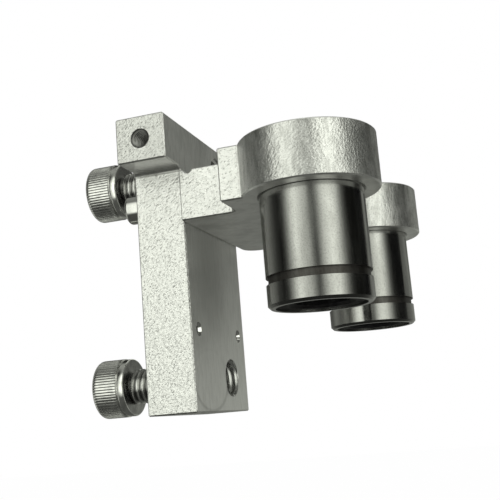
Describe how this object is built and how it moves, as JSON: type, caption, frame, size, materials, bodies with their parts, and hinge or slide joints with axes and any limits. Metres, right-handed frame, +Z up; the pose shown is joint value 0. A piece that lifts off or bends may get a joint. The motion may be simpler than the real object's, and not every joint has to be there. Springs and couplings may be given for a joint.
{
  "type": "linear bearing carriage plate",
  "caption": "Upright aluminium carriage plate with a yoke that holds linear ball bearings side by side on guide rods, and knurled clamp screws for a tool.",
  "frame": {"origin": "middle of the near bearing's bore, on its axis", "axes": "+Z up along the bearing bores, +Y from the near bearing to the far one, +X from the plate towards the bearings"},
  "size_m": [0.0553, 0.058, 0.0455],
  "materials": {
    "aluminium": "bead blasted, bright",
    "bearing_steel": "ground and polished",
    "screw_steel": "dark stainless, knurled head",
    "small_screw_steel": "smooth stainless",
    "seal_rubber": "matt",
    "cage_plastic": "matt"
  },
  "bodies": {
    "carriage": {"carriage_plate": "aluminium", "bearing_yoke": "aluminium", "yoke_screw_near": "small_screw_steel", "yoke_screw_far": "small_screw_steel", "near_sleeve": "bearing_steel", "near_cage": "cage_plastic", "near_balls": "bearing_steel", "near_upper_seal": "seal_rubber", "near_upper_side_ring": "bearing_steel", "near_lower_seal": "seal_rubber", "near_lower_side_ring": "bearing_steel", "far_sleeve": "bearing_steel", "far_cage": "cage_plastic", "far_balls": "bearing_steel", "far_upper_seal": "seal_rubber", "far_upper_side_ring": "bearing_steel", "far_lower_seal": "seal_rubber", "far_lower_side_ring": "bearing_steel"},
    "lower_clamp_screw": {"clamp_screw_lower": "screw_steel"},
    "upper_clamp_screw": {"clamp_screw_upper": "screw_steel"}
  },
  "joints": [
    {"name": "lower_screw_turn", "type": "hinge", "parent": "carriage", "child": "lower_clamp_screw", "pos_m": [-0.0295, 0.02125, -0.0195], "axis": [1, 0, 0], "continuous": true},
    {"name": "upper_screw_turn", "type": "hinge", "parent": "carriage", "child": "upper_clamp_screw", "pos_m": [-0.0295, 0.02125, 0.0155], "axis": [1, 0, 0], "continuous": true}
  ]
}
